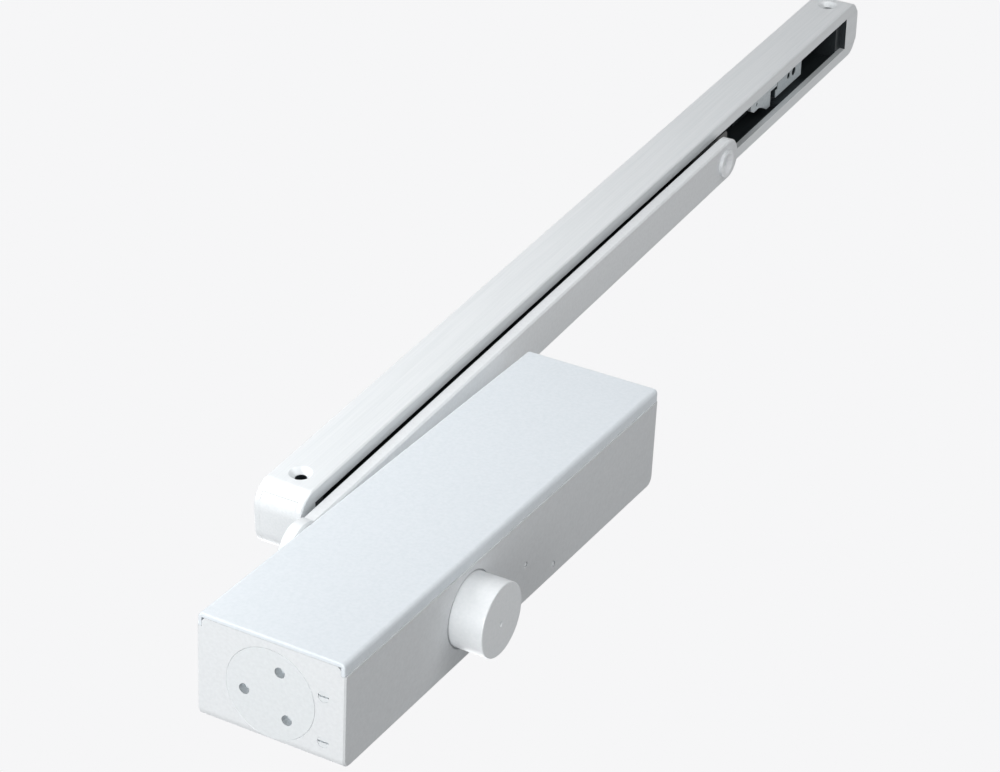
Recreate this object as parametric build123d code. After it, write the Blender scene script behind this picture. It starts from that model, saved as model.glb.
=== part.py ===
from build123d import *
import math
import os

# A slide arm door closer: a hydraulic body, one arm and a slide rail.
# Lengths are in millimetres. X runs along the body, Y points at the door, Z runs up the spindle.
# The origin is the centre of the housing's back face, the face that lies on the door.

# Body
body_length = 232.0
body_height = 60.0
body_depth = 43.0
back_corner_radius = 4.0
housing_edge = 0.6
rise_edge = 1.2

# Front cover, a channel that clips over the front of the housing
cover_wall = 1.5
cover_skirt = 5.0
cover_edge_radius = 1.8
cover_end_radius = 0.6
cover_seam = 0.1
cover_inset = 0.35
cover_fit = 0.1

# Cylinder bore, through the whole housing, and the metal before and behind it
front_wall = 3.1
back_wall = 2.3
running_fit = 0.03
seat_fit = 0.02
bore_mouth = 0.2

# Gap that is left where one piece rests against the stop or face of another
stop_gap = 0.3

# How far a cutting shape runs past the piece that it cuts
cut_overrun = 1.0

# Fixing holes through the housing, under the cover
fixing_from_end = 36.0
fixing_from_side = 7.5
fixing_hole_radius = 2.75
fixing_head_radius = 4.8
fixing_head_depth = 4.0

# Spindle with its pinion, and the rack in the piston
spindle_from_near_end = 83.3
gear_module = 1.25
pinion_teeth = 14
pressure_angle = 20.0
pinion_addendum = 1.25
pinion_dedendum = 1.55
rack_addendum = 1.0
rack_dedendum = 1.5
tooth_backlash = 0.1
tooth_root_overlap = 0.7
pinion_face = 26.0
journal_radius = 7.0
square_size = 9.5
square_fit = 0.05
spindle_shoulder = 1.0
swing_range = 160.0

# Needle bearings, shaft seals and the rings that hold them
bearing_radius = 12.0
needle_radius = 1.0
needle_count = 18
needle_play = 0.02
seal_length = 2.4
ring_length = 2.7
stack_gap = 0.3
ring_bore_clearance = 0.6
lower_collar = 4.0

# Piston
piston_tail = 19.2
window_margin = 1.5
window_side_clearance = 1.0
head_recess_radius = 11.0
head_recess_depth = 14.0
check_valve_radius = 4.5
check_valve_length = 8.0
relief_valve_radius = 3.5
relief_valve_length = 8.0
valve_sleeve_wall = 1.6
valve_seat_lip = 0.9

# End plugs
plug_length = 16.0
plug_edge = 0.15
plug_hole_radius = 2.1
plug_hole_depth = 3.5
plug_hole_circle = 21.5
plug_hole_turn = 81.0
ring_section = 1.9
ring_from_face = 9.0

# Closing springs
outer_wire_radius = 2.3
outer_spring_play = 1.5
outer_turns = 11
inner_wire_radius = 1.7
inner_spring_play = 1.2
inner_turns = 14

# Spring seat and the screw that sets its place
seat_thickness = 7.0
seat_travel = 10.0
adjuster_thread_radius = 4.0
adjuster_thread_spare = 4.0
adjuster_head_radius = 5.0
adjuster_collar_radius = 7.5
adjuster_collar_length = 3.4
adjuster_recess = 0.5
adjuster_socket = 5.0
adjuster_socket_depth = 5.0
adjuster_ring_section = 1.2
adjuster_ring_from_collar = 2.4
turning_fit = 0.05

# Regulating valves in the near end
valve_radius = 2.2
valve_length = 20.0
valve_recess = 0.15
valve_tip_length = 4.0
valve_tip_step = 0.5
valve_tip_radius = 0.7
valve_slot = 0.6
valve_slot_depth = 0.7
valve_wall = 1.2
valve_places = (-27.2, -8.7)
valve_ring_section = 0.9
oil_way_radius = 1.0

# Sealing balls, pressed in drillings in the underside, whose rims are staked over them
sealing_ball_radius = 1.6
sealing_ball_depth = 0.05
sealing_hole_depth = 4.0
sealing_mouth_radius = 1.25
sealing_rim = 0.6
sealing_ball_places = ((9.7, -16.8), (32.3, -5.5))

# Pinion cap over the lower end of the spindle
cap_radius = 14.5
cap_height = 13.6
cap_ledge = 1.0
cap_floor = 1.8
cap_edge = 0.5
cap_dimple_radius = 1.3
cap_dimple_depth = 1.2
cap_dimple_offset = (-0.7, 1.2)
cap_groove_width = 0.7
cap_groove_depth = 0.8
lower_square_clearance = 0.8

# Arm
arm_angle = -4.5
arm_length = 356.4
arm_width = 19.3
arm_thickness = 5.6
arm_rise = 9.5
arm_hub_radius = 12.0
arm_boss_radius = 11.0
arm_edge = 0.7
arm_end_past_pivot = 4.0
arm_screw_head_radius = 6.0
arm_screw_radius = 3.0
arm_screw_length = 12.0
arm_screw_socket = 4.0
arm_screw_socket_depth = 2.2
countersink_angle = 90.0

# Pivot stud between the arm and the slide block
stud_radius = 4.0
stud_head_radius = 6.4
stud_head_height = 1.45
stud_dish_radius = 4.8
stud_dish_floor = 2.0
stud_dish_depth = 1.8
stud_groove_radius = 3.2
stud_end = 1.65
clip_thickness = 0.9
clip_radius = 6.4
clip_gap = 0.15
washer_radius = 8.0
washer_thickness = 1.6

# Slide rail
rail_length = 518.4
rail_depth = 28.2
rail_height = 21.0
rail_above_arm = 2.4
rail_wall = 2.6
rail_lip = 2.8
rail_slot = 16.4
rail_edge = 0.5
rail_corner_radius = 9.5
rail_end_to_pivot = 170.9
slot_insets = (10.5, 14.0)
end_block_length = 20.0
end_block_fit = 0.05
rail_hole_insets = (17.0, 15.0)
rail_hole_radius = 2.4
rail_hole_head_radius = 4.7

# Slide block
slide_length = 34.0
slide_fit = 0.2
slide_lift = 0.3
slide_neck_fit = 0.4
slide_corner_radius = 2.0

# Hold-open unit in the rail
unit_from_pivot = 55.5
unit_length = 58.5
unit_fit = 0.3
unit_plate = 3.8
unit_face_lift = 5.1
unit_face_width = 11.2
unit_groove_depth = 3.0
unit_screws = ((9.0, 2.2, 2.5), (15.1, 1.6, 1.5))
unit_screw_recess = 1.2
catch_body_length = 22.6
catch_tail_length = 7.3
catch_tail_back = -0.3
catch_front = 6.3
catch_nose_back = 0.9
catch_tip = (3.6, 2.9)
catch_waist = (9.3, 2.9)
catch_neck = (14.5, 4.9)
catch_root = (18.5, 7.6)
catch_thickness = 5.5
catch_gap = 0.8
catch_side_gap = 2.0
catch_root_gap = 5.9
catch_pivot_setback = 18.0
catch_pin_radius = 2.0
catch_mark_from_nose = 6.8
catch_mark_radius = 0.9
catch_mark_depth = 1.5
catch_spring_wire = 0.25
catch_spring_radius = 3.0
catch_spring_turns = 2

# Places that follow from the sizes above
half_length = body_length / 2
half_height = body_height / 2
bore_radius = (body_depth - cover_wall - cover_fit - front_wall - back_wall) / 2
bore_y = -(back_wall + bore_radius)
seam_y = -(body_depth - cover_skirt) + cover_seam
cover_inside_y = -(body_depth - cover_wall)
rise_y = cover_inside_y + cover_fit
rise_half_height = half_height - cover_inset - cover_wall - cover_fit
fixing_x = half_length - fixing_from_end
fixing_z = half_height - fixing_from_side
spindle_x = -half_length + spindle_from_near_end
pitch_radius = gear_module * pinion_teeth / 2
tip_radius = pitch_radius + pinion_addendum
root_radius = pitch_radius - pinion_dedendum
rack_pitch = math.pi * gear_module
rack_y = bore_y - pitch_radius
piston_stroke = pitch_radius * math.radians(swing_range)
piston_radius = bore_radius - running_fit
plug_radius = bore_radius - turning_fit
near_plug_face = -half_length + plug_length
far_plug_face = half_length - plug_length
window_near = spindle_x - tip_radius - piston_stroke - window_margin
window_far = spindle_x + tip_radius + window_margin
piston_near = near_plug_face + stop_gap
piston_far = window_far + piston_tail
collar_near = far_plug_face + stop_gap
seat_far = far_plug_face - stop_gap
seat_near = seat_far - seat_thickness
spring_near = piston_far + stop_gap
spring_far = seat_near - stop_gap
outer_coil_radius = bore_radius - outer_spring_play - outer_wire_radius
inner_coil_radius = outer_coil_radius - outer_wire_radius - inner_spring_play - inner_wire_radius
check_ball_radius = check_valve_radius - valve_sleeve_wall
relief_ball_radius = relief_valve_radius - valve_sleeve_wall
valve_height = -(bore_radius + valve_wall + valve_radius)
ring_low = half_height - ring_length
seal_low = ring_low - stack_gap - seal_length
bearing_low = bore_radius + stack_gap
bearing_high = seal_low - stack_gap
arm_low = half_height + arm_rise
arm_top = arm_low + arm_thickness
rail_low = arm_top + rail_above_arm
rail_top = rail_low + rail_height
lip_top = rail_low + rail_lip
channel_top = rail_top - rail_wall
channel_half = rail_depth / 2 - rail_wall
rail_far = arm_length + rail_end_to_pivot
rail_near = rail_far - rail_length
unit_near = arm_length + unit_from_pivot
unit_far = unit_near + unit_length
clamp_near = unit_near + catch_body_length + catch_root_gap
catch_pivot = unit_near + catch_pivot_setback
catch_far = unit_near + catch_body_length + catch_tail_length
arm_frame = Pos(spindle_x, bore_y, 0) * Rot(0, 0, arm_angle)
rail_start = Pos(rail_near, 0, 0)


def block(x1, x2, y1, y2, z1, z2):
    """A box from its lowest to its highest corner."""
    middle = ((x1 + x2) / 2, (y1 + y2) / 2, (z1 + z2) / 2)
    return Pos(*middle) * Box(x2 - x1, y2 - y1, z2 - z1)


def rod_x(radius, x1, x2, y=bore_y, z=0.0):
    """A round bar along X."""
    return Pos((x1 + x2) / 2, y, z) * Rot(0, 90, 0) * Cylinder(radius, x2 - x1)


def rod_y(radius, y1, y2, x, z):
    """A round bar along Y."""
    return Pos(x, (y1 + y2) / 2, z) * Rot(90, 0, 0) * Cylinder(radius, y2 - y1)


def rod_z(radius, z1, z2, x=0.0, y=0.0):
    """A round bar along Z."""
    return Pos(x, y, (z1 + z2) / 2) * Cylinder(radius, z2 - z1)


def cone_z(low_radius, high_radius, z1, z2, x=0.0, y=0.0):
    """A cone along Z, from its low radius to its high radius."""
    return Pos(x, y, (z1 + z2) / 2) * Cone(low_radius, high_radius, z2 - z1)


def tube_z(outer, inner, z1, z2, x=0.0, y=0.0):
    """A round tube along Z."""
    return rod_z(outer, z1, z2, x, y) - rod_z(inner, z1, z2, x, y)


def hexagon_x(across, x1, x2, y=bore_y, z=0.0):
    """A hexagonal bar along X, measured across its flats."""
    end = Plane((x1, y, z), x_dir=(0, 1, 0), z_dir=(1, 0, 0))
    return extrude(end * RegularPolygon(across / 2, 6, major_radius=False), x2 - x1)


def hexagon_z(across, z1, z2, x=0.0, y=0.0):
    """A hexagonal bar along Z, measured across its flats."""
    return extrude(Pos(x, y, z1) * RegularPolygon(across / 2, 6, major_radius=False), z2 - z1)


def seal_ring_x(outer, section, x, y=bore_y, z=0.0):
    """A round seal ring about an axis along X, inside an outer radius."""
    return Pos(x, y, z) * Rot(0, 90, 0) * Torus(outer - section / 2, section / 2)


def seal_groove_x(outer, section, x, y=bore_y, z=0.0):
    """The groove that a seal ring lies in."""
    half_width = section / 2 + turning_fit
    floor = outer - section - seat_fit
    return rod_x(outer + section, x - half_width, x + half_width, y, z) - rod_x(
        floor, x - half_width, x + half_width, y, z
    )


def fixing_places():
    """The four fixing holes of the housing."""
    return [(sx * fixing_x, sz * fixing_z) for sx in (-1, 1) for sz in (-1, 1)]


# Body pieces


def make_housing():
    """Cast block with the cylinder bore, the spindle bore and the fixing holes."""
    back = block(-half_length, half_length, seam_y, 0, -half_height, half_height)
    back = fillet(back.edges().filter_by(Axis.Z).group_by(Axis.Y)[-1], back_corner_radius)
    back = chamfer(back.edges().filter_by(Axis.X).group_by(Axis.Y)[-1], housing_edge)
    rise = block(-half_length, half_length, rise_y, seam_y, -rise_half_height, rise_half_height)
    shape = back + chamfer(rise.edges().filter_by(Axis.X).group_by(Axis.Y)[0], rise_edge)
    shape -= rod_x(bore_radius, -half_length, half_length)
    mouth = bore_radius + bore_mouth
    for side in (-1, 1):
        face = side * half_length
        cone = Cone(bore_radius, mouth, bore_mouth)
        shape -= Pos(face - side * bore_mouth / 2, bore_y, 0) * Rot(0, side * 90, 0) * cone
    shape -= rod_z(bearing_radius, -half_height, half_height, spindle_x, bore_y)
    groove_top = -half_height + cap_groove_depth
    shape -= tube_z(cap_radius + cap_groove_width, cap_radius, -half_height, groove_top, spindle_x, bore_y)
    for x, z in fixing_places():
        shape -= rod_y(fixing_hole_radius, rise_y, 0, x, z)
        shape -= rod_y(fixing_head_radius, rise_y, rise_y + fixing_head_depth, x, z)
    for y in valve_places:
        valve_end = -half_length + valve_recess + valve_length + stack_gap
        shape -= rod_x(valve_radius + turning_fit, -half_length, valve_end, y, valve_height)
        way_x = valve_end - valve_tip_length / 2
        shape -= rod_z(oil_way_radius, valve_height, valve_height + valve_reach(y), way_x, y)
    for x, y in sealing_ball_places:
        rim_top = -half_height + sealing_rim
        shape -= rod_z(sealing_mouth_radius, -half_height, rim_top, x, y)
        shape -= rod_z(sealing_ball_radius, rim_top, -half_height + sealing_hole_depth, x, y)
        shape -= rod_z(oil_way_radius, -half_height, -bore_half_height(y), x, y)
    return shape


def bore_half_height(y):
    """Half the height of the bore's round section, at a distance from the door."""
    return math.sqrt(bore_radius**2 - (y - bore_y) ** 2) - oil_way_radius / 2


def valve_reach(y):
    """How far an oil way runs up from a valve to reach the bore."""
    return -bore_half_height(y) - valve_height + oil_way_radius


def make_front_cover():
    """Channel of bent sheet, open at both ends."""
    skirt_y = -body_depth + cover_skirt
    outside = half_height - cover_inset
    shape = block(-half_length, half_length, -body_depth, skirt_y, -outside, outside)
    shape = fillet(shape.edges().filter_by(Axis.X).group_by(Axis.Y)[0], cover_edge_radius)
    shape = fillet(shape.edges().filter_by(Axis.Z).group_by(Axis.Y)[0], cover_end_radius)
    inside = outside - cover_wall
    shape -= block(-half_length, half_length, cover_inside_y, 0, -inside, inside)
    return shape


def make_plug(side):
    """Round plug in an end of the bore, with three blind holes for a pin spanner."""
    face = side * half_length
    inner = side * (half_length - plug_length)
    low, high = min(face, inner), max(face, inner)
    shape = rod_x(plug_radius, low, high)
    outer_rim = shape.edges().filter_by(GeomType.CIRCLE).sort_by(Axis.X)[-1 if side > 0 else 0]
    shape = chamfer(outer_rim, plug_edge)
    shape -= seal_groove_x(plug_radius, ring_section, side * (half_length - ring_from_face))
    for index in range(3):
        turn = math.radians(plug_hole_turn + 120 * index)
        y = bore_y + plug_hole_circle / 2 * math.cos(turn)
        z = plug_hole_circle / 2 * math.sin(turn)
        floor = side * (half_length - plug_hole_depth)
        shape -= rod_x(plug_hole_radius, min(face, floor), max(face, floor), y, z)
    return shape


def make_far_plug():
    """The far plug also carries the spring adjuster."""
    shape = make_plug(1)
    collar_far = far_plug_face + adjuster_collar_length + 2 * stop_gap
    shape -= rod_x(adjuster_collar_radius + turning_fit, far_plug_face, collar_far)
    shape -= rod_x(adjuster_head_radius + turning_fit, far_plug_face, half_length)
    return shape


def make_plug_seals():
    """One seal ring in each end plug."""
    return Compound(
        [seal_ring_x(plug_radius, ring_section, side * (half_length - ring_from_face)) for side in (-1, 1)]
    )


def make_bearing_cups():
    """The outer shells of the two needle bearings."""
    race = journal_radius + 2 * needle_radius + 2 * needle_play
    shell = bearing_radius - seat_fit
    upper = tube_z(shell, race, bearing_low, bearing_high, spindle_x, bore_y)
    lower = tube_z(shell, race, -bearing_high, -bearing_low, spindle_x, bore_y)
    return Compound([upper, lower])


def make_bearing_needles():
    """The needle rollers between the shells and the spindle."""
    circle = journal_radius + needle_radius + needle_play
    low = bearing_low + stack_gap
    high = bearing_high - stack_gap
    needles = []
    for z1, z2 in ((low, high), (-high, -low)):
        for index in range(needle_count):
            turn = 2 * math.pi * index / needle_count
            x = spindle_x + circle * math.cos(turn)
            y = bore_y + circle * math.sin(turn)
            needles.append(rod_z(needle_radius, z1, z2, x, y))
    return Compound(needles)


def make_shaft_seals():
    """Lip seals above and below the bearings."""
    lip = journal_radius + turning_fit
    rim = bearing_radius - seat_fit
    high = seal_low + seal_length
    upper = tube_z(rim, lip, seal_low, high, spindle_x, bore_y)
    lower = tube_z(rim, lip, -high, -seal_low, spindle_x, bore_y)
    return Compound([upper, lower])


def make_upper_ring():
    """Threaded ring that closes the spindle bore on top."""
    hole = journal_radius + ring_bore_clearance
    return tube_z(bearing_radius - seat_fit, hole, ring_low, half_height, spindle_x, bore_y)


def make_lower_ring():
    """Threaded ring that closes the spindle bore below and carries the cap."""
    hole = journal_radius + ring_bore_clearance
    low = -half_height - lower_collar
    return tube_z(bearing_radius - seat_fit, hole, low, -ring_low, spindle_x, bore_y)


def make_pinion_cap():
    """Round cap pressed over the collar of the lower ring."""
    low = -half_height - cap_height
    shape = rod_z(cap_radius, low, -half_height, spindle_x, bore_y)
    shape = fillet(shape.edges().filter_by(GeomType.CIRCLE).sort_by(Axis.Z)[0], cap_edge)
    collar_low = -half_height - lower_collar - stack_gap
    shape -= rod_z(bearing_radius, collar_low, -half_height, spindle_x, bore_y)
    shape -= rod_z(bearing_radius - cap_ledge, low + cap_floor, collar_low, spindle_x, bore_y)
    x, y = spindle_x + cap_dimple_offset[0], bore_y + cap_dimple_offset[1]
    shape -= cone_z(cap_dimple_radius, cap_dimple_radius / 2, low, low + cap_dimple_depth, x, y)
    return shape


def make_sealing_plugs():
    """Small steel balls that close the drillings in the underside."""
    radius = sealing_ball_radius - seat_fit
    level = -half_height + sealing_ball_depth + radius
    return Compound([Pos(x, y, level) * Sphere(radius) for x, y in sealing_ball_places])


# Spindle, pinion and piston


def involute_point(base, radius):
    """A point on the involute of a base circle, at a radius, as radius and turn."""
    spread = math.sqrt((radius / base) ** 2 - 1)
    return radius, spread - math.atan(spread)


def tooth_face():
    """One pinion tooth, with involute flanks, pointing along +X."""
    base = pitch_radius * math.cos(math.radians(pressure_angle))
    half_tooth = (rack_pitch / 2 - tooth_backlash) / 2 / pitch_radius
    centre_turn = half_tooth + involute_point(base, pitch_radius)[1]
    radii = [base + (tip_radius - base) * step / 4 for step in range(5)]
    flank = []
    for radius in radii:
        length, turn = involute_point(base, radius)
        flank.append((length * math.cos(centre_turn - turn), length * math.sin(centre_turn - turn)))
    foot_radius = root_radius - tooth_root_overlap
    foot = (foot_radius * math.cos(centre_turn), foot_radius * math.sin(centre_turn))
    upper = Spline(*flank)
    lower = Spline(*[(x, -y) for x, y in flank])
    tip = ThreePointArc(flank[-1], (tip_radius, 0), (flank[-1][0], -flank[-1][1]))
    root_upper = Line(foot, flank[0])
    root_lower = Line((foot[0], -foot[1]), (flank[0][0], -flank[0][1]))
    inner = Line(foot, (foot[0], -foot[1]))
    return make_face(Wire([root_upper, upper, tip, lower, root_lower, inner]))


def make_pinion_spindle():
    """Spindle with its pinion, journals, squares and the tapped hole for the arm screw."""
    face = Circle(root_radius)
    tooth = tooth_face()
    for index in range(pinion_teeth):
        face += Rot(0, 0, -90 + 360 * index / pinion_teeth) * tooth
    shape = extrude(Pos(0, 0, -pinion_face / 2) * face, pinion_face)
    lower_square = -half_height - cap_height + cap_floor + lower_square_clearance
    shoulder = half_height + spindle_shoulder
    square_top = arm_top - countersink_depth() - stack_gap
    shape += rod_z(journal_radius, -half_height - lower_collar, shoulder)
    for low, high in ((lower_square, -half_height - lower_collar), (shoulder, square_top)):
        square = Rot(0, 0, arm_angle) * block(
            -square_size / 2, square_size / 2, -square_size / 2, square_size / 2, low, high
        )
        shape += square & rod_z(journal_radius - turning_fit, low, high)
    shape -= rod_z(arm_screw_radius + seat_fit, square_top - arm_screw_length, square_top)
    return Pos(spindle_x, bore_y, 0) * shape


def countersink_depth():
    """Depth of the countersink under the arm screw's head."""
    spread = math.tan(math.radians(countersink_angle / 2))
    return (arm_screw_head_radius - arm_screw_radius) / spread


def make_piston():
    """Piston with a window whose near-front wall is cut as a rack."""
    shape = rod_x(piston_radius, piston_near, piston_far)
    tip_line = rack_y + rack_addendum
    back_line = bore_y + tip_radius + window_side_clearance
    shape -= block(window_near, window_far, tip_line, back_line, -bore_radius, bore_radius)
    for index in range(rack_first(), rack_last() + 1):
        shape -= Pos(spindle_x + index * rack_pitch, rack_y, 0) * rack_gap()
    recess_far = piston_near + head_recess_depth
    shape -= rod_x(head_recess_radius, piston_near, recess_far)
    shape -= rod_x(check_valve_radius, recess_far, recess_far + check_valve_length)
    shape -= rod_x(check_ball_radius - valve_seat_lip, recess_far, window_near)
    shape -= rod_x(relief_valve_radius, piston_far - relief_valve_length, piston_far)
    shape -= rod_x(relief_ball_radius - valve_seat_lip, window_far, piston_far)
    return shape


def rack_first():
    """The rack gap nearest the window's near end."""
    return math.ceil((window_near + rack_pitch / 2 - spindle_x) / rack_pitch)


def rack_last():
    """The rack gap nearest the window's far end."""
    return math.floor((window_far - rack_pitch / 2 - spindle_x) / rack_pitch)


def rack_gap():
    """One gap between two rack teeth, about the pitch line."""
    slope = math.tan(math.radians(pressure_angle))
    half_gap = (rack_pitch / 2 + tooth_backlash) / 2
    mouth = half_gap + rack_addendum * slope
    floor = half_gap - rack_dedendum * slope
    top_corners = [(-mouth, rack_addendum), (mouth, rack_addendum)]
    floor_corners = [(floor, -rack_dedendum), (-floor, -rack_dedendum)]
    outline = Polyline(*top_corners, *floor_corners, close=True)
    return extrude(Pos(0, 0, -bore_radius) * make_face(outline), 2 * bore_radius)


def valve_sleeve(radius, x1, x2):
    """Sleeve of a ball valve in the piston."""
    return rod_x(radius - seat_fit, x1, x2) - rod_x(radius - valve_sleeve_wall, x1, x2)


def make_check_valve_sleeve():
    """Sleeve of the check valve in the piston's head."""
    start = piston_near + head_recess_depth
    return valve_sleeve(check_valve_radius, start + stack_gap, start + check_valve_length)


def make_check_valve_ball():
    """Ball of the check valve."""
    middle = piston_near + head_recess_depth + check_valve_length / 2
    return Pos(middle, bore_y, 0) * Sphere(check_ball_radius - seat_fit)


def make_relief_valve_sleeve():
    """Sleeve of the relief valve in the piston's tail."""
    return valve_sleeve(relief_valve_radius, piston_far - relief_valve_length, piston_far - stack_gap)


def make_relief_valve_ball():
    """Ball of the relief valve."""
    middle = piston_far - relief_valve_length / 2
    return Pos(middle, bore_y, 0) * Sphere(relief_ball_radius - seat_fit)


# Springs and the spring adjuster


def helix_state(radius, pitch, turn):
    """Point and direction on a helix along X, after some turns."""
    angle = 2 * math.pi * turn
    rate = pitch / (2 * math.pi)
    point = Vector(pitch * turn, radius * math.cos(angle), radius * math.sin(angle))
    direction = Vector(rate, -radius * math.sin(angle), radius * math.cos(angle)).normalized()
    return point, direction


def biarc(start, start_way, end, end_way):
    """Two arcs that meet in one line and join two points, each with its own direction."""
    chord = end - start
    ways = start_way + end_way
    square = ways.dot(ways) - 4
    middle = -2 * chord.dot(ways)
    reach = (-middle - math.sqrt(middle**2 - 4 * square * chord.dot(chord))) / (2 * square)
    first = start + start_way * reach
    second = end - end_way * reach
    joint = (first + second) * 0.5
    return [
        Edge.make_tangent_arc(start, start_way, joint),
        Edge.make_tangent_arc(joint, (second - first).normalized(), end),
    ]


def coil(radius, wire, length, turns):
    """A helical spring along X that starts at the origin, as one unbroken tube."""
    pitch = (length - 2 * wire) / turns
    edges = []
    for step in range(2 * turns):
        start, start_way = helix_state(radius, pitch, step / 2)
        end, end_way = helix_state(radius, pitch, (step + 1) / 2)
        edges += biarc(start, start_way, end, end_way)
    path = Wire(edges)
    start, start_way = helix_state(radius, pitch, 0)
    section = Plane(origin=start, z_dir=start_way) * Circle(wire)
    print("spring of radius", radius, "least gap", round(least_gap(radius, wire, pitch, turns), 2), "mm")
    return Pos(wire, 0, 0) * sweep(section, path=path)


def least_gap(radius, wire, pitch, turns):
    """Least distance between the surfaces of neighbouring turns, measured on points."""
    steps = 48
    points = [helix_state(radius, pitch, index / steps)[0] for index in range(turns * steps + 1)]
    least = pitch
    for index, point in enumerate(points):
        for other in points[index + steps // 2: index + 2 * steps]:
            least = min(least, (other - point).length)
    return least - 2 * wire


def make_outer_spring():
    """The strong closing spring."""
    length = spring_far - spring_near
    return Pos(spring_near, bore_y, 0) * coil(outer_coil_radius, outer_wire_radius, length, outer_turns)


def make_inner_spring():
    """The second closing spring, inside the first."""
    length = spring_far - spring_near
    return Pos(spring_near, bore_y, 0) * coil(inner_coil_radius, inner_wire_radius, length, inner_turns)


def make_spring_seat():
    """Disc that the springs push against, threaded on the adjuster."""
    shape = rod_x(piston_radius, seat_near, seat_far)
    shape = chamfer(shape.edges().filter_by(GeomType.CIRCLE), housing_edge)
    return shape - rod_x(adjuster_thread_radius + turning_fit, seat_near, seat_far)


def make_adjuster_screw():
    """Screw that moves the spring seat, with its collar behind the far plug."""
    head_far = half_length - adjuster_recess
    thread_near = seat_near - seat_travel - adjuster_thread_spare
    shape = rod_x(adjuster_thread_radius, thread_near, collar_near)
    shape += rod_x(adjuster_collar_radius, collar_near, collar_near + adjuster_collar_length)
    shape += rod_x(adjuster_head_radius, collar_near, head_far)
    shape -= seal_groove_x(adjuster_head_radius, adjuster_ring_section, adjuster_ring_x())
    return shape - hexagon_x(adjuster_socket, head_far - adjuster_socket_depth, head_far)


def adjuster_ring_x():
    """Place of the seal ring on the adjuster's head."""
    return collar_near + adjuster_collar_length + adjuster_ring_from_collar


def make_adjuster_seal():
    """Seal ring on the adjuster's head."""
    return seal_ring_x(adjuster_head_radius, adjuster_ring_section, adjuster_ring_x())


def valve_ring_x():
    """Place of the seal ring on a regulating valve."""
    return -half_length + valve_recess + valve_length / 2


def make_valve(y):
    """Regulating valve: a slotted screw with a tapered tip."""
    near = -half_length + valve_recess
    far = near + valve_length
    body_far = far - valve_tip_length
    shape = rod_x(valve_radius, near, body_far, y, valve_height)
    tip = Cone(valve_radius - valve_tip_step, valve_tip_radius, valve_tip_length)
    shape += Pos((body_far + far) / 2, y, valve_height) * Rot(0, 90, 0) * tip
    shape -= block(
        near,
        near + valve_slot_depth,
        y - valve_slot / 2,
        y + valve_slot / 2,
        valve_height - valve_radius,
        valve_height + valve_radius,
    )
    return shape - seal_groove_x(valve_radius, valve_ring_section, valve_ring_x(), y, valve_height)


def make_valve_seal(y):
    """Seal ring of a regulating valve."""
    return seal_ring_x(valve_radius, valve_ring_section, valve_ring_x(), y, valve_height)


# Arm, modelled with its own X axis along it and its origin on the spindle's axis


def make_main_arm():
    """Flat bar with a boss that sits on the spindle's square."""
    end = arm_length + arm_end_past_pivot
    bar = block(0, end, -arm_width / 2, arm_width / 2, arm_low, arm_top)
    bar += rod_z(arm_width / 2, arm_low, arm_top, end)
    bar += rod_z(arm_hub_radius, arm_low, arm_top)
    rims = bar.edges().group_by(Axis.Z)
    bar = chamfer(rims[0] + rims[-1], arm_edge)
    bar += rod_z(arm_boss_radius, half_height + spindle_shoulder, arm_low)
    hole = square_size + 2 * square_fit
    square = block(-hole / 2, hole / 2, -hole / 2, hole / 2, half_height, arm_top - countersink_depth())
    bar -= square & rod_z(journal_radius, half_height, arm_top)
    top_radius = arm_screw_head_radius + turning_fit
    bar -= cone_z(arm_screw_radius + turning_fit, top_radius, arm_top - countersink_depth(), arm_top)
    bar -= rod_z(stud_radius + seat_fit, arm_low, arm_top, arm_length)
    return bar


def make_arm_screw():
    """Countersunk screw that holds the arm on the spindle."""
    head_low = arm_top - countersink_depth()
    shape = cone_z(arm_screw_radius, arm_screw_head_radius, head_low, arm_top)
    shape += rod_z(arm_screw_radius, head_low - arm_screw_length, head_low)
    return shape - hexagon_z(arm_screw_socket, arm_top - arm_screw_socket_depth, arm_top)


def clip_low():
    """Lowest level of the clip on the pivot stud."""
    return (lip_top + channel_top) / 2 + stack_gap


def make_pivot_stud():
    """Stud riveted in the arm's end, which carries the slide block."""
    groove_top = clip_low() + clip_thickness + clip_gap
    shape = rod_z(stud_radius, arm_low, groove_top + stud_end, arm_length)
    shape += rod_z(stud_head_radius, arm_low - stud_head_height, arm_low, arm_length)
    groove = tube_z(stud_radius + clip_gap, stud_groove_radius, clip_low(), groove_top, arm_length)
    head_low = arm_low - stud_head_height
    dish = cone_z(stud_dish_radius, stud_dish_floor, head_low, head_low + stud_dish_depth, arm_length)
    return shape - groove - dish


def make_stud_clip():
    """Open ring in the stud's groove, above the slide block's shoulder."""
    low = clip_low() + clip_gap / 2
    shape = tube_z(clip_radius, stud_groove_radius + seat_fit, low, low + clip_thickness, arm_length)
    high = low + clip_thickness
    half_opening = stud_groove_radius / 2
    return shape - block(arm_length, arm_length + clip_radius, -half_opening, half_opening, low, high)


def make_stud_washer():
    """Plain washer between the arm and the slide block."""
    return tube_z(washer_radius, stud_radius + turning_fit, arm_top, arm_top + washer_thickness, arm_length)


# Slide block, in the arm's axes


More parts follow.
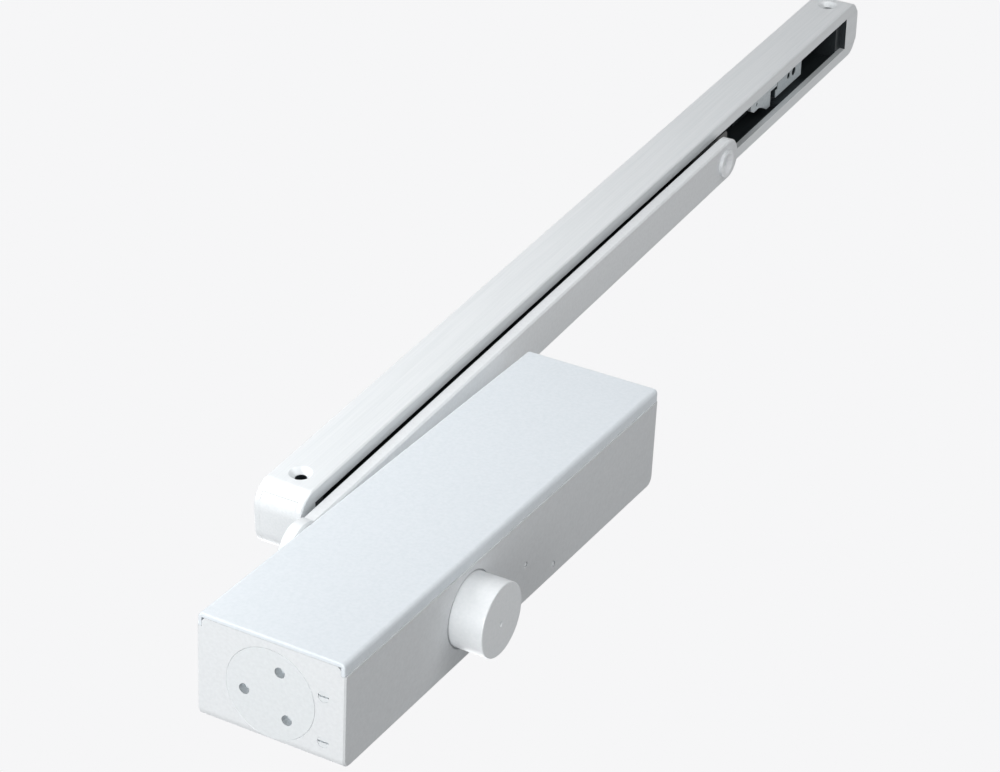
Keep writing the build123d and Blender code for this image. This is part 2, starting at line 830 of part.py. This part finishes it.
def make_slide_block():
    """Plastic block that runs in the rail, with a neck through the slot."""
    near, far = arm_length - slide_length / 2, arm_length + slide_length / 2
    half_body = channel_half - slide_fit
    half_neck = rail_slot / 2 - slide_neck_fit
    shape = block(near, far, -half_body, half_body, lip_top + slide_lift, channel_top - slide_lift)
    shape = fillet(shape.edges().filter_by(Axis.Z), slide_corner_radius)
    low = arm_top + washer_thickness + slide_lift
    neck = block(near, far, -half_neck, half_neck, low, lip_top + slide_lift)
    shape += fillet(neck.edges().filter_by(Axis.Z), slide_corner_radius)
    shape -= rod_z(stud_radius + turning_fit, low, channel_top, arm_length)
    return shape - rod_z(clip_radius + stack_gap, clip_low() - clip_gap, channel_top, arm_length)


# Slide rail and its end blocks, in axes that start at the rail's near end


def rail_outline(z1, z2):
    """The rail's rounded outline, as a solid between two levels."""
    shape = block(0, rail_length, -rail_depth / 2, rail_depth / 2, z1, z2)
    return fillet(shape.edges().filter_by(Axis.Z), rail_corner_radius)


def make_slide_rail():
    """Extruded channel with two lips and a countersunk hole near each end."""
    shape = rail_outline(rail_low, rail_top)
    rims = shape.edges().group_by(Axis.Z)
    shape = chamfer(rims[0] + rims[-1], rail_edge)
    cut_near, cut_far = -cut_overrun, rail_length + cut_overrun
    shape -= block(cut_near, cut_far, -channel_half, channel_half, lip_top, channel_top)
    shape -= block(cut_near, cut_far, -rail_slot / 2, rail_slot / 2, rail_low - cut_overrun, lip_top)
    front = -rail_depth / 2
    level = (rail_low + rail_top) / 2
    depth = rail_hole_head_radius - rail_hole_radius
    for x in (rail_hole_insets[0], rail_length - rail_hole_insets[1]):
        shape -= rod_y(rail_hole_radius, front, -front, x, level)
        head = Rot(-90, 0, 0) * Cone(rail_hole_head_radius, rail_hole_radius, depth)
        shape -= Pos(x, front + depth / 2, level) * head
    return shape


def make_end_block(side):
    """Block that closes an end of the rail and fills the end of its slot."""
    end = 0 if side < 0 else 1
    face = end * rail_length
    inner = face - side * end_block_length
    slot_end = face - side * slot_insets[end]
    half_body = channel_half - end_block_fit
    half_filler = rail_slot / 2 - end_block_fit
    low = lip_top + end_block_fit
    high = channel_top - end_block_fit
    body = block(min(face, inner), max(face, inner), -half_body, half_body, low, high)
    filler = block(min(face, slot_end), max(face, slot_end), -half_filler, half_filler, rail_low, low)
    shape = (body + filler) & rail_outline(rail_low, rail_top)
    hole_x = face - side * rail_hole_insets[end]
    return shape - rod_y(rail_hole_radius, -channel_half, channel_half, hole_x, (rail_low + rail_top) / 2)


# Hold-open unit, clamped in the rail's channel, in the arm's axes


def catch_low():
    """Lowest level of the catch and of the unit's face."""
    return rail_low + unit_face_lift


def make_hold_open_body():
    """Steel body: a plate over a clamping block, which is grooved beside its face and cut for the catch."""
    half = channel_half - unit_fit
    top = channel_top - unit_fit
    plate_low = top - unit_plate
    face_half = unit_face_width / 2
    groove_half = rail_slot / 2 + unit_fit
    groove_top = catch_low() + unit_groove_depth
    shape = block(unit_near, unit_far, -half, half, plate_low, top)
    shape += block(clamp_near, unit_far, -half, half, lip_top + unit_fit, plate_low)
    shape -= block(clamp_near, unit_far, -groove_half, groove_half, rail_low, groove_top)
    shape += block(clamp_near, unit_far, -face_half, face_half, catch_low(), plate_low)
    tail_room = catch_far + catch_gap
    shape -= block(clamp_near, tail_room, -half, catch_tail_back + catch_side_gap, rail_low, plate_low)
    shape -= rod_z(catch_pin_radius + seat_fit, plate_low, top, catch_pivot)
    for offset, radius, socket in unit_screws:
        shape -= rod_z(radius + seat_fit, rail_low, top, unit_far - offset)
    return shape


def make_hold_open_screws():
    """Two set screws that clamp the unit against the top of the channel, sunk in its face."""
    low = catch_low() + unit_screw_recess
    screws = []
    for offset, radius, socket in unit_screws:
        x = unit_far - offset
        screw = rod_z(radius, low, channel_top - unit_fit, x)
        screws.append(screw - hexagon_z(socket, low, low + socket, x))
    return Compound(screws)


def make_catch_pin():
    """Pin that the catch turns on."""
    return rod_z(catch_pin_radius, catch_low(), channel_top - unit_fit, catch_pivot)


def make_hold_open_catch():
    """Sprung lever whose nose points at the slide block and whose tail lies beside the clamping block."""
    low = catch_low()
    high = low + catch_thickness
    outline = (
        (0, catch_nose_back),
        catch_tip,
        catch_waist,
        catch_neck,
        catch_root,
        (catch_body_length, catch_root[1]),
        (catch_body_length, catch_tail_back),
        (catch_body_length + catch_tail_length, catch_tail_back),
        (catch_body_length + catch_tail_length, -catch_front),
        (catch_tip[0], -catch_front),
        (0, catch_tip[0] - catch_front),
    )
    face = make_face(Polyline(*outline, close=True))
    shape = extrude(Pos(unit_near, 0, low) * face, high - low, dir=(0, 0, 1))
    shape -= rod_z(catch_mark_radius, low, low + catch_mark_depth, unit_near + catch_mark_from_nose)
    return shape - rod_z(catch_pin_radius + turning_fit, low, high, catch_pivot)


def make_catch_spring():
    """Small spring round the catch's pin, between the catch and the plate."""
    low = catch_low() + catch_thickness + stack_gap
    high = channel_top - unit_fit - unit_plate - stack_gap
    spring = coil(catch_spring_radius, catch_spring_wire, high - low, catch_spring_turns)
    return Pos(catch_pivot, 0, low) * Rot(0, -90, 0) * spring


straight_pieces = {
    "housing": make_housing(),
    "front_cover": make_front_cover(),
    "end_plug_near": make_plug(-1),
    "end_plug_far": make_far_plug(),
    "end_plug_seals": make_plug_seals(),
    "bearing_cups": make_bearing_cups(),
    "bearing_needles": make_bearing_needles(),
    "shaft_seals": make_shaft_seals(),
    "bearing_ring_upper": make_upper_ring(),
    "bearing_ring_lower": make_lower_ring(),
    "pinion_cap": make_pinion_cap(),
    "sealing_plugs": make_sealing_plugs(),
    "pinion_spindle": make_pinion_spindle(),
    "piston": make_piston(),
    "check_valve_sleeve": make_check_valve_sleeve(),
    "check_valve_ball": make_check_valve_ball(),
    "relief_valve_sleeve": make_relief_valve_sleeve(),
    "relief_valve_ball": make_relief_valve_ball(),
    "closing_spring_outer": make_outer_spring(),
    "closing_spring_inner": make_inner_spring(),
    "spring_seat": make_spring_seat(),
    "adjuster_screw": make_adjuster_screw(),
    "adjuster_seal": make_adjuster_seal(),
    "closing_speed_valve": make_valve(valve_places[0]),
    "latching_speed_valve": make_valve(valve_places[1]),
    "closing_valve_seal": make_valve_seal(valve_places[0]),
    "latching_valve_seal": make_valve_seal(valve_places[1]),
}

turned_pieces = {
    "main_arm": make_main_arm(),
    "arm_screw": make_arm_screw(),
    "pivot_stud": make_pivot_stud(),
    "stud_clip": make_stud_clip(),
    "stud_washer": make_stud_washer(),
    "slide_block": make_slide_block(),
    "slide_rail": rail_start * make_slide_rail(),
    "rail_end_block_near": rail_start * make_end_block(-1),
    "rail_end_block_far": rail_start * make_end_block(1),
    "hold_open_body": make_hold_open_body(),
    "hold_open_screws": make_hold_open_screws(),
    "hold_open_catch": make_hold_open_catch(),
    "catch_pin": make_catch_pin(),
    "catch_spring": make_catch_spring(),
}

os.makedirs("parts", exist_ok=True)
for name, shape in straight_pieces.items():
    export_step(shape, f"parts/{name}.step")
for name, shape in turned_pieces.items():
    export_step(arm_frame * shape, f"parts/{name}.step")
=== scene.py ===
import math

import bmesh
import bpy
from mathutils import Matrix, Vector

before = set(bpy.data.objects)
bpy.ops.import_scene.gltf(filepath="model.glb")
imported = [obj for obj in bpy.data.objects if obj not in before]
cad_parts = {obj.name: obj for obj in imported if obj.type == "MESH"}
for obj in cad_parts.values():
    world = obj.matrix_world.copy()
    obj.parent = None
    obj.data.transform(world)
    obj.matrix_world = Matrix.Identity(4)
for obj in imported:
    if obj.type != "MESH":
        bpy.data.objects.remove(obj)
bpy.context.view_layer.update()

# Camera: a long lens below the near end of the closer, looking up at the underside of the body, the arm
# and the slide rail. Its place and its axes come from the edges of the body and the rail.
MM = 0.001
camera_place = Vector((-776.52, -566.51, -435.60)) * MM
camera_right = Vector((0.49120, -0.04321, -0.86998))
camera_up = Vector((0.39368, -0.87992, 0.26598))
camera_back = Vector((-0.77701, -0.47315, -0.41520))
camera_data = bpy.data.cameras.new("camera")
camera_data.lens = 100.92
camera_data.sensor_width = 36
camera_data.clip_start = 0.05
camera_data.clip_end = 50
camera = bpy.data.objects.new("camera", camera_data)
bpy.context.scene.collection.objects.link(camera)
turn = Matrix((camera_right, camera_up, camera_back)).transposed()
camera.matrix_world = Matrix.Translation(camera_place) @ turn.to_4x4()
bpy.context.scene.camera = camera
bpy.context.scene.view_settings.view_transform = "Standard"


# Studio: a tent of white cloth that glows softly from all sides, so no side of the closer is dark.
# Its light on things is low, but the eye, and a surface that mirrors it, sees the cloth as nearly white.
def linear(colour):
    """An sRGB hex value, such as C8CCD0, as the linear colour that a shader takes."""
    parts = [int(colour[i : i + 2], 16) / 255 for i in (0, 2, 4)]
    return [p / 12.92 if p <= 0.04045 else ((p + 0.055) / 1.055) ** 2.4 for p in parts] + [1.0]


def add_node(tree, kind, inputs=None, **settings):
    """Adds a shader node with its settings. An input given as a socket is linked, any other is set."""
    node = tree.nodes.new(kind)
    for name, value in settings.items():
        setattr(node, name, value)
    for name, value in (inputs or {}).items():
        if isinstance(value, bpy.types.NodeSocket):
            tree.links.new(value, node.inputs[name])
        else:
            node.inputs[name].default_value = value
    return node


def seen_directly(tree):
    """1 for rays from the eye, a mirror or glass, which see a white studio, and 0 for light on things."""
    path = add_node(tree, "ShaderNodeLightPath")
    mirrored = add_node(
        tree,
        "ShaderNodeMath",
        {0: path.outputs["Is Glossy Ray"], 1: path.outputs["Is Transmission Ray"]},
        operation="MAXIMUM",
    )
    seen = add_node(
        tree,
        "ShaderNodeMath",
        {0: path.outputs["Is Camera Ray"], 1: mirrored.outputs[0]},
        operation="MAXIMUM",
    )
    return seen.outputs[0]


tent_light = 0.22
world = bpy.data.worlds.new("light_tent")
world.use_nodes = True
bpy.context.scene.world = world
tree = world.node_tree
tree.nodes.clear()
cloth = add_node(tree, "ShaderNodeBackground", {"Color": linear("F8F9FB"), "Strength": tent_light})
white = add_node(tree, "ShaderNodeBackground", {"Color": linear("F6F6F7"), "Strength": 1.0})
mixed = add_node(
    tree, "ShaderNodeMixShader", {0: seen_directly(tree), 1: cloth.outputs[0], 2: white.outputs[0]}
)
add_node(tree, "ShaderNodeOutputWorld", {"Surface": mixed.outputs[0]})

# Lamps: soft boxes, all aimed at the body. A large one off the near end also lights the cover at a slant,
# and two small ones close to the rail's near end fade along it. Two low ones lift the underside to a
# middle grey, and one behind and above keeps the back a light silver. Sides in metres, powers in watts.
lamp_aim = Vector((20, -30, 10)) * MM
for name, place, side, power in (
    ("end_lamp", (-1200, -300, -100), 0.6, 11.9),
    ("near_lamp", (-200, -200, 200), 0.2, 0.17),
    ("rail_lamp", (0, -300, 300), 0.3, 0.95),
    ("low_lamp", (100, -450, -400), 0.5, 1.05),
    ("front_lamp", (400, -800, -200), 0.6, 1.0),
    ("back_lamp", (500, 900, 500), 0.8, 4.5),
):
    lamp_data = bpy.data.lights.new(name, "AREA")
    lamp_data.shape = "SQUARE"
    lamp_data.size = side
    lamp_data.energy = power
    lamp = bpy.data.objects.new(name, lamp_data)
    bpy.context.scene.collection.objects.link(lamp)
    lamp.location = Vector(place) * MM
    lamp.rotation_euler = (lamp_aim - lamp.location).to_track_quat("-Z", "Y").to_euler()
    lamp.visible_camera = False

# Floor: a wide sheet of pale studio paper far below the closer, which hangs free above it, so that no
# view from below meets it. It is matt, with the faint cloudiness of paper, 0.4 m across, and most of what
# the eye sees of it is a glow that meets the white of the cloth without an edge. The rest takes shadows.
floor_level = -4000
floor_half = 16000
cloud_size = 400
glow_share, glow_strength = 0.85, 1.17
paper = bpy.data.materials.new("studio_paper")
paper.use_nodes = True
tree = paper.node_tree
shader = tree.nodes["Principled BSDF"]
shader.inputs["Roughness"].default_value = 0.9
place = add_node(tree, "ShaderNodeTexCoord")
cloud = add_node(
    tree, "ShaderNodeTexNoise", {"Vector": place.outputs["Object"], "Scale": 1 / (cloud_size * MM)}
)
shade = add_node(tree, "ShaderNodeValToRGB", {"Fac": cloud.outputs["Fac"]})
shade.color_ramp.elements[0].color = linear("F0F0F0")
shade.color_ramp.elements[1].color = linear("F6F6F6")
tree.links.new(shade.outputs["Color"], shader.inputs["Base Color"])
glow = add_node(tree, "ShaderNodeEmission", {"Color": shade.outputs["Color"], "Strength": glow_strength})
share = add_node(tree, "ShaderNodeMath", {0: seen_directly(tree), 1: glow_share}, operation="MULTIPLY")
paper_mix = add_node(
    tree, "ShaderNodeMixShader", {0: share.outputs[0], 1: shader.outputs[0], 2: glow.outputs[0]}
)
tree.links.new(paper_mix.outputs[0], tree.nodes["Material Output"].inputs["Surface"])
sheet = bmesh.new()
bmesh.ops.create_grid(sheet, x_segments=1, y_segments=1, size=floor_half * MM)
bmesh.ops.translate(sheet, vec=(0, 0, floor_level * MM), verts=sheet.verts)
mesh = bpy.data.meshes.new("floor")
sheet.to_mesh(mesh)
sheet.free()
floor = bpy.data.objects.new("floor", mesh)
bpy.context.scene.collection.objects.link(floor)
floor.data.materials.append(paper)


# Housing: one block of cast iron, milled on its faces and bored through from end to end.
# It is powder coated in silver, which leaves a nearly matt skin with a fine orange peel.
def start_material(name, roughness, metallic=0.0):
    """A new material, its tree, its shader and the place on the piece."""
    material = bpy.data.materials.new(name)
    material.use_nodes = True
    tree = material.node_tree
    shader = tree.nodes["Principled BSDF"]
    shader.inputs["Roughness"].default_value = roughness
    shader.inputs["Metallic"].default_value = metallic
    return material, tree, shader, add_node(tree, "ShaderNodeTexCoord").outputs["Object"]


def colour_between(tree, factor, low, high, start=0.3, end=0.7):
    """A colour that goes from low to high as the factor rises."""
    ramp = add_node(tree, "ShaderNodeValToRGB", {"Fac": factor})
    ramp.color_ramp.elements[0].position = start
    ramp.color_ramp.elements[0].color = linear(low)
    ramp.color_ramp.elements[1].position = end
    ramp.color_ramp.elements[1].color = linear(high)
    return ramp.outputs["Color"]


def raise_surface(tree, shader, height, depth):
    """Bumps the shader's surface by a depth in millimetres."""
    bump = add_node(tree, "ShaderNodeBump", {"Height": height, "Distance": depth * MM, "Strength": 0.6})
    tree.links.new(bump.outputs["Normal"], shader.inputs["Normal"])


def finish_nodes(material, *names):
    """Gives CAD nodes their material."""
    for name in names:
        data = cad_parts[name].data
        data.materials.clear()
        data.materials.append(material)


def powder_coat(name, low, high, roughness, peel):
    """Silver powder coat. Its metal flake is a faint mottle, and its peel, in millimetres, is a soft bump.

    Both are drawn coarser than the real 0.1 and 0.5 mm to show.
    """
    material, tree, shader, place = start_material(name, roughness, 0.08)
    flake = add_node(tree, "ShaderNodeTexNoise", {"Vector": place, "Scale": 1 / (1.4 * MM), "Detail": 3.0})
    colour = colour_between(tree, flake.outputs["Fac"], low, high)
    tree.links.new(colour, shader.inputs["Base Color"])
    skin = add_node(tree, "ShaderNodeTexNoise", {"Vector": place, "Scale": 1 / (peel * MM), "Detail": 2.0})
    raise_surface(tree, shader, skin.outputs["Fac"], 0.015)
    return material


cast_coat = powder_coat("powder_coated_casting", "D8DBDD", "DEE1E3", roughness=0.64, peel=1.4)
finish_nodes(cast_coat, "housing")

# Front cover: a shallow channel of pressed steel sheet, clipped over the front of the housing.
# Its coat is smoother than the casting's, with a colder silver.
sheet_coat = powder_coat("powder_coated_sheet", "DAE1E6", "E0E6EB", roughness=0.42, peel=2.0)
finish_nodes(sheet_coat, "front_cover")


# End plugs and regulating valves: turned steel, screwed in the housing's ends and coated with it.
# Their holes and slots are cut deeper than the coat reaches and show dull bare steel, coloured darker
# than the coat, partly for the steel and partly as painted shade in the holes.
body_half_length = 116
past_sides = 60
coat_reach = 0.3


def inside_box(tree, own, lows, highs):
    """1 where the place lies between two corners, given in millimetres, and 0 elsewhere."""
    parts = add_node(tree, "ShaderNodeSeparateXYZ", {0: own})
    result = None
    for axis, low, high in zip("XYZ", lows, highs):
        for limit, operation in ((low, "GREATER_THAN"), (high, "LESS_THAN")):
            test = add_node(
                tree, "ShaderNodeMath", {0: parts.outputs[axis], 1: limit * MM}, operation=operation
            ).outputs[0]
            if result is not None:
                test = add_node(tree, "ShaderNodeMath", {0: result, 1: test}, operation="MULTIPLY").outputs[0]
            result = test
    return result


def two_colours(tree, shade_mask, outside, inside):
    """The inside colour where the mask is 1 and the outside colour elsewhere."""
    colour = add_node(tree, "ShaderNodeMix", data_type="RGBA")
    tree.links.new(shade_mask, colour.inputs[0])
    tree.links.new(outside, colour.inputs[6])
    tree.links.new(inside, colour.inputs[7])
    return colour.outputs[2]


plug_coat = powder_coat("powder_coated_plug", "D6DADC", "DCE0E2", roughness=0.62, peel=1.4)
tree = plug_coat.node_tree
shader = tree.nodes["Principled BSDF"]
coat_colour = shader.inputs["Base Color"].links[0].from_socket
place = tree.nodes["Texture Coordinate"].outputs["Object"]
cut = add_node(tree, "ShaderNodeTexNoise", {"Vector": place, "Scale": 1 / (0.8 * MM), "Detail": 3.0})
# Darker deeper in: partly bare steel, partly painted shade in the holes and slots.
bare_steel_and_shade = colour_between(tree, cut.outputs["Fac"], "C6CBCE", "D0D5D8")
bare_from = body_half_length - coat_reach
deep_bare_and_shade = inside_box(
    tree, place, (-bare_from, -past_sides, -past_sides), (bare_from, past_sides, past_sides)
)
tree.links.new(two_colours(tree, deep_bare_and_shade, coat_colour, bare_steel_and_shade), shader.inputs["Base Color"])
finish_nodes(plug_coat, "end_plug_near", "end_plug_far", "closing_speed_valve", "latching_speed_valve")

# Seals: moulded black nitrile rubber rings, on the plugs, the valves, the adjuster and the spindle.
# They are matt, with a slight cloudy bloom of about 1.5 mm.
nitrile, tree, shader, place = start_material("nitrile_rubber", 0.65)
bloom = add_node(tree, "ShaderNodeTexNoise", {"Vector": place, "Scale": 1 / (1.5 * MM), "Detail": 4.0})
tree.links.new(
    colour_between(tree, bloom.outputs["Fac"], "131313", "1F1F20"), shader.inputs["Base Color"]
)
raise_surface(tree, shader, bloom.outputs["Fac"], 0.02)
finish_nodes(
    nitrile, "end_plug_seals", "shaft_seals", "adjuster_seal", "closing_valve_seal", "latching_valve_seal"
)


# Sealing balls: small steel balls, zinc plated, pressed in the underside over the drilled oil ways.
# They shine a little brighter than the casting round them.
def zinc_plate(name, low, high, roughness, grain=1.6, metallic=0.85):
    """Bright zinc plate on steel: a soft silver grey with a faint mottle, its grain in millimetres."""
    material, tree, shader, place = start_material(name, roughness, metallic)
    mottle = add_node(tree, "ShaderNodeTexNoise", {"Vector": place, "Scale": 1 / (grain * MM), "Detail": 5.0})
    tree.links.new(colour_between(tree, mottle.outputs["Fac"], low, high), shader.inputs["Base Color"])
    raise_surface(tree, shader, mottle.outputs["Fac"], 0.015)
    return material


ball_zinc = zinc_plate("zinc_plated_ball", "D6DADC", "E2E5E7", roughness=0.36, grain=0.8, metallic=0.4)
finish_nodes(ball_zinc, "sealing_plugs")

# Pinion cap: a round moulded cap, painted silver, pressed over the ring that closes the spindle bore.
# It is a little smoother than the casting.
cap_coat = powder_coat("painted_plastic_cap", "E1E5E7", "E7EAEC", roughness=0.4, peel=1.2)
finish_nodes(cap_coat, "pinion_cap")


# Bearings: ground cups and needles of chromium steel, and the threaded steel rings that hold them.
# Ground steel shows very fine lines and is nearly a mirror, and the rings' zinc is softer and mottled.
def ground_steel(name, low, high, roughness):
    """Ground and hardened steel: fine grinding lines of about 0.3 mm, drawn twice as coarse to show."""
    material, tree, shader, place = start_material(name, roughness, 1.0)
    long = add_node(tree, "ShaderNodeMapping", {"Vector": place, "Scale": (0.15, 1, 1)})
    lines = add_node(
        tree, "ShaderNodeTexNoise", {"Vector": long.outputs[0], "Scale": 1 / (0.6 * MM), "Detail": 3.0}
    )
    tree.links.new(colour_between(tree, lines.outputs["Fac"], low, high), shader.inputs["Base Color"])
    raise_surface(tree, shader, lines.outputs["Fac"], 0.006)
    return material


bearing_steel = ground_steel("ground_bearing_steel", "BFC3C7", "D0D4D8", roughness=0.18)
finish_nodes(bearing_steel, "bearing_cups", "bearing_needles", "check_valve_ball", "relief_valve_ball")
ring_zinc = zinc_plate("zinc_plated_ring", "A8ACAF", "BCC0C4", roughness=0.38)
finish_nodes(ring_zinc, "bearing_ring_upper", "bearing_ring_lower", "adjuster_screw")

# Pinion spindle: case hardened steel, turned, its teeth hobbed and its journals ground.
# Hardening leaves it darker than bare steel.
spindle_steel = ground_steel("case_hardened_steel", "7C8084", "8E9296", roughness=0.3)
finish_nodes(spindle_steel, "pinion_spindle", "spring_seat")

# Piston: grey cast iron, turned and ground on the outside, with a milled window and rack.
# Grey iron is dark and slightly grainy, with the low gloss of a ground and oiled face.
piston_iron, tree, shader, place = start_material("ground_grey_iron", 0.35, 0.9)
grain = add_node(tree, "ShaderNodeTexNoise", {"Vector": place, "Scale": 1 / (0.9 * MM), "Detail": 6.0})
tree.links.new(
    colour_between(tree, grain.outputs["Fac"], "5E6062", "77797B"), shader.inputs["Base Color"]
)
raise_surface(tree, shader, grain.outputs["Fac"], 0.02)
finish_nodes(piston_iron, "piston")

# Check and relief valves: brass sleeves, turned, each with a steel ball on its seat.
# Brass from the lathe is yellow and bright, with rings about its axis, drawn 3 mm apart to show.
bore_axis = Vector((0, -20.3, 0)) * MM
ring_pitch = 3.1416
valve_brass, tree, shader, place = start_material("turned_brass", 0.28, 1.0)
own = add_node(tree, "ShaderNodeVectorMath", {0: place, 1: bore_axis}, operation="SUBTRACT")
rings = add_node(
    tree,
    "ShaderNodeTexWave",
    {
        "Vector": own.outputs[0],
        "Scale": 2 * math.pi / 20 / (ring_pitch * MM),
        "Distortion": 0.4,
        "Detail Scale": 1.0,
    },
    wave_type="RINGS",
    rings_direction="X",
)
tree.links.new(
    colour_between(tree, rings.outputs["Fac"], "B39449", "CBAE62", 0.2, 0.8), shader.inputs["Base Color"]
)
raise_surface(tree, shader, rings.outputs["Fac"], 0.01)
finish_nodes(valve_brass, "check_valve_sleeve", "relief_valve_sleeve")

# Closing springs: two nested coils of oil tempered spring wire, ground flat at the ends.
# Tempering leaves a blue black skin, lightly scuffed where the coils rub.
spring_wire, tree, shader, place = start_material("oil_tempered_wire", 0.38, 0.85)
scuff = add_node(tree, "ShaderNodeTexNoise", {"Vector": place, "Scale": 1 / (2.5 * MM), "Detail": 5.0})
tree.links.new(
    colour_between(tree, scuff.outputs["Fac"], "3A3D42", "565A60", 0.4, 0.75), shader.inputs["Base Color"]
)
raise_surface(tree, shader, scuff.outputs["Fac"], 0.015)
finish_nodes(spring_wire, "closing_spring_outer", "closing_spring_inner", "catch_spring", "stud_clip")

# Main arm: flat steel bar, pressed to shape, with a boss at the spindle and a hole for the stud.
# Its silver coat is a little lighter and smoother than the casting's. A zinc plated screw holds it on.
arm_coat = powder_coat("powder_coated_arm", "E1E4E6", "E7EAEC", roughness=0.44, peel=1.6)
finish_nodes(arm_coat, "main_arm")
finish_nodes(ring_zinc, "arm_screw")

# Pivot stud: turned steel, riveted in the arm's end, zinc plated.
# Its round head shows under the arm, as light as the coat round it and a little glossier.
stud_zinc = zinc_plate("zinc_plated_stud", "DDE0E3", "E8EAEC", roughness=0.4, metallic=0.3)
finish_nodes(stud_zinc, "pivot_stud")

# Slide block: moulded acetal, black and slippery, with a washer of the same under it.
# It has a low sheen and the fine texture of a spark eroded mould, drawn 1 mm across to show.
acetal, tree, shader, place = start_material("black_acetal", 0.42)
texture = add_node(tree, "ShaderNodeTexNoise", {"Vector": place, "Scale": 1 / (1.0 * MM), "Detail": 3.0})
tree.links.new(
    colour_between(tree, texture.outputs["Fac"], "0F0F10", "181819"), shader.inputs["Base Color"]
)
raise_surface(tree, shader, texture.outputs["Fac"], 0.02)
finish_nodes(acetal, "slide_block", "stud_washer")

# Slide rail: extruded aluminium channel, satin silver anodised outside, with lines along its length from
# the die and the brushing. Inside, its colour is near black: painted shade for the channel's deep shade.
arm_angle = math.radians(-4.5)
spindle_axis = Vector((-32.7, -20.3, 0)) * MM
rail_low, lip_top, channel_top = 47.5, 50.3, 65.9
channel_half = 11.5
rail_ends = (8.9, 527.3)
wall_skin = 0.05


def rail_place(tree, place):
    """The place in the rail's own axes: X along it from the spindle, Y across, Z up."""
    own = add_node(tree, "ShaderNodeVectorMath", {0: place, 1: spindle_axis}, operation="SUBTRACT")
    own = add_node(tree, "ShaderNodeMapping", {"Vector": own.outputs[0], "Rotation": (0, 0, -arm_angle)})
    return own.outputs[0]


def anodised_with_painted_shade(name, low, high, shade_low, shade_high, shade_lows, shade_highs):
    """Satin anodised aluminium with lines along the rail, drawn 0.8 mm apart to show, and painted shade
    inside.
    """
    material, tree, shader, place = start_material(name, 0.38, 0.2)
    own = rail_place(tree, place)
    long = add_node(tree, "ShaderNodeMapping", {"Vector": own, "Scale": (0.02, 1, 1)})
    lines = add_node(
        tree, "ShaderNodeTexNoise", {"Vector": long.outputs[0], "Scale": 1 / (0.8 * MM), "Detail": 4.0}
    )
    bright = colour_between(tree, lines.outputs["Fac"], low, high)
    # The inside of the channel is coloured near black: painted shade for the deep shade there.
    painted_shade = colour_between(tree, lines.outputs["Fac"], shade_low, shade_high)
    shade_mask = inside_box(tree, own, shade_lows, shade_highs)
    tree.links.new(two_colours(tree, shade_mask, bright, painted_shade), shader.inputs["Base Color"])
    raise_surface(tree, shader, lines.outputs["Fac"], 0.012)
    return material


rail_finish = anodised_with_painted_shade(
    "satin_anodised_aluminium_with_painted_shade",
    "DCE0E2",
    "E3E6E8",
    # The two near black colours inside the channel are painted shade.
    "2A2F32",
    "343A3D",
    (rail_ends[0] + 1, -channel_half - wall_skin, lip_top - wall_skin),
    (rail_ends[1] - 1, channel_half + wall_skin, channel_top + wall_skin),
)
finish_nodes(rail_finish, "slide_rail")

# End blocks: zinc die castings pushed in the rail's ends, which close the slot flush with the lips.
# They are painted the rail's silver near the rail's ends, where they show. Further in their colour is
# near black: painted shade for the deep shade in the channel.
painted_near, painted_far = 10.4, 13.9
end_finish = anodised_with_painted_shade(
    "painted_zinc_casting_with_painted_shade",
    "DDE1E3",
    "E4E7E9",
    # Near black further in: painted shade for the channel's deep shade.
    "2A2F32",
    "343A3D",
    (rail_ends[0] + painted_near, -channel_half - wall_skin, rail_low - 1),
    (rail_ends[1] - painted_far, channel_half + wall_skin, channel_top + wall_skin),
)
finish_nodes(end_finish, "rail_end_block_near", "rail_end_block_far")

# Hold-open unit: a steel body with its face ground bright. Two blackened set screws clamp it in the rail.
# Its face is a light grey; the rest of it is coloured nearly black: painted shade for the slot's deep shade.
unit_face_level = 52.6
unit_face_half = 5.6
unit_steel, tree, shader, place = start_material("ground_steel_face_with_painted_shade", 0.5, 0.3)
own = rail_place(tree, place)
mottle = add_node(tree, "ShaderNodeTexNoise", {"Vector": place, "Scale": 1 / (1.2 * MM), "Detail": 5.0})
ground = colour_between(tree, mottle.outputs["Fac"], "B0B9BD", "C4CCD0")
# Nearly black off the face: painted shade for the slot beside and behind the unit.
painted_shade_sides = colour_between(tree, mottle.outputs["Fac"], "30373B", "3E464A")
face = inside_box(
    tree,
    own,
    (rail_ends[0], -unit_face_half - 0.1, unit_face_level - 0.1),
    (rail_ends[1], unit_face_half + 0.1, unit_face_level + 0.3),
)
tree.links.new(two_colours(tree, face, painted_shade_sides, ground), shader.inputs["Base Color"])
raise_surface(tree, shader, mottle.outputs["Fac"], 0.015)
finish_nodes(unit_steel, "hold_open_body")
screw_steel = ground_steel("blackened_screw_steel", "4A4D50", "5E6164", roughness=0.4)
finish_nodes(screw_steel, "hold_open_screws")

# Catch: a lever of hardened steel on a pin, which a small spring holds against the unit's body.
# Both are plated, and look a little lighter than the unit's ground face.
catch_steel = zinc_plate("plated_catch_steel", "BEC6CA", "D0D7DA", roughness=0.45, metallic=0.3)
finish_nodes(catch_steel, "hold_open_catch", "catch_pin")
